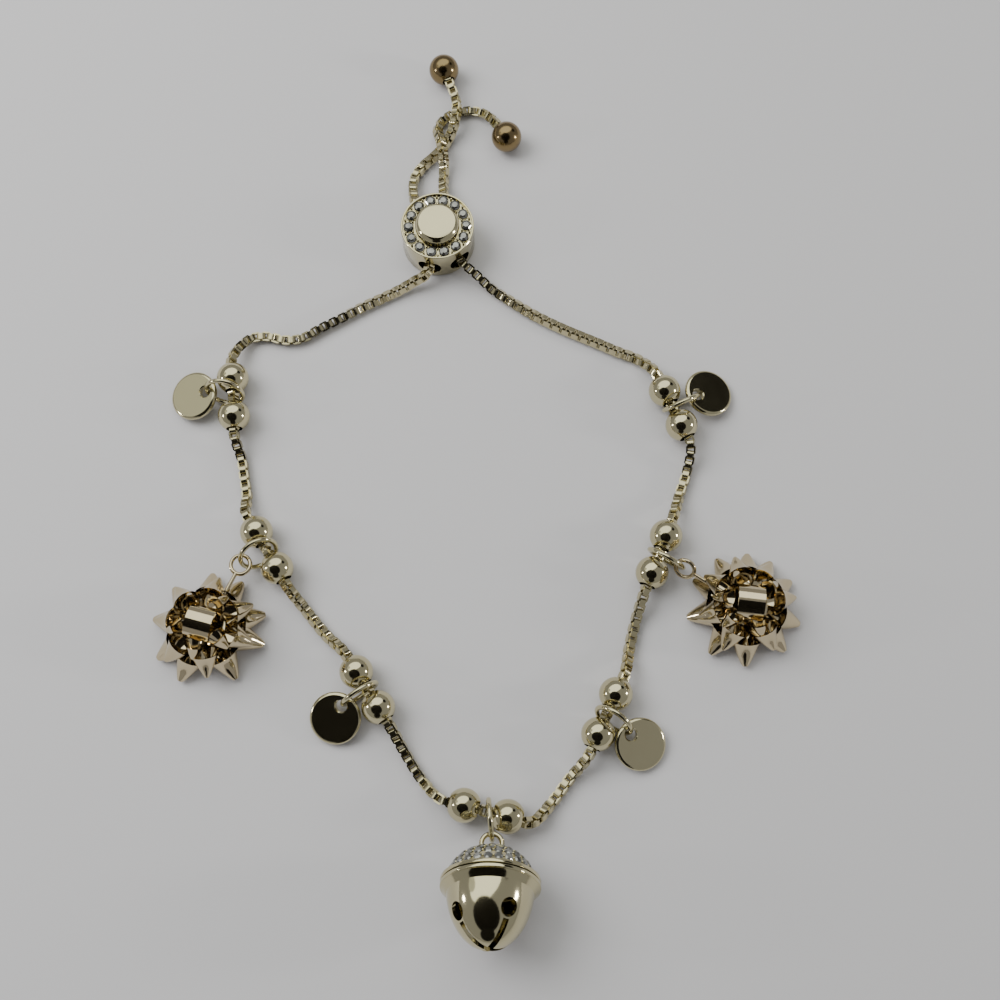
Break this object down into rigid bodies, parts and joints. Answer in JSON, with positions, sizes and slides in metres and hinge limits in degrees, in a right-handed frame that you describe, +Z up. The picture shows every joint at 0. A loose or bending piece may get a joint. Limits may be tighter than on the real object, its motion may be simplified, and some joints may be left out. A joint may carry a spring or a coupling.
{
  "type": "charm bracelet",
  "caption": "Adjustable box-chain bracelet with a stone-set slider, round spacer beads and hanging disc, bow and bell charms, lying open as a loop.",
  "frame": {"origin": "middle of the underside of the whole bracelet's box, on the surface that it lies on", "axes": "+Z up from the surface that it lies on, +Y along the loop's length from the bell to the slider and its tails, +X across the loop"},
  "size_m": [0.0772, 0.1136, 0.0106],
  "materials": {
    "pale_gold": "polished pale gold plating",
    "bronze_gold": "satin bronze-gold plating",
    "crystal": "clear cut stones"
  },
  "bodies": {
    "root": {"bead_bell_a": "pale_gold", "bead_bell_b": "pale_gold", "bead_bow_1_a": "pale_gold", "bead_bow_1_b": "pale_gold", "bead_bow_2_a": "pale_gold", "bead_bow_2_b": "pale_gold", "bead_disc_1_a": "pale_gold", "bead_disc_1_b": "pale_gold", "bead_disc_2_a": "pale_gold", "bead_disc_2_b": "pale_gold", "bead_disc_3_a": "pale_gold", "bead_disc_3_b": "pale_gold", "bead_disc_4_a": "pale_gold", "bead_disc_4_b": "pale_gold", "bell_cap": "pale_gold", "bell_cup": "pale_gold", "box_chain": "pale_gold", "charm_bow_1": "pale_gold", "charm_bow_2": "pale_gold", "charm_disc_1": "pale_gold", "charm_disc_2": "pale_gold", "charm_disc_3": "pale_gold", "charm_disc_4": "pale_gold", "jump_ring_bell": "pale_gold", "jump_ring_bow_1": "pale_gold", "jump_ring_bow_2": "pale_gold", "jump_ring_disc_1": "pale_gold", "jump_ring_disc_2": "pale_gold", "jump_ring_disc_3": "pale_gold", "jump_ring_disc_4": "pale_gold", "slider_body": "pale_gold", "slider_stone_01": "crystal", "slider_stone_02": "crystal", "slider_stone_03": "crystal", "slider_stone_04": "crystal", "slider_stone_05": "crystal", "slider_stone_06": "crystal", "slider_stone_07": "crystal", "slider_stone_08": "crystal", "slider_stone_09": "crystal", "slider_stone_10": "crystal", "slider_stone_11": "crystal", "slider_stone_12": "crystal", "slider_stone_13": "crystal", "slider_stone_14": "crystal", "tail_ball_left": "bronze_gold", "tail_ball_right": "bronze_gold"}
  },
  "joints": []
}
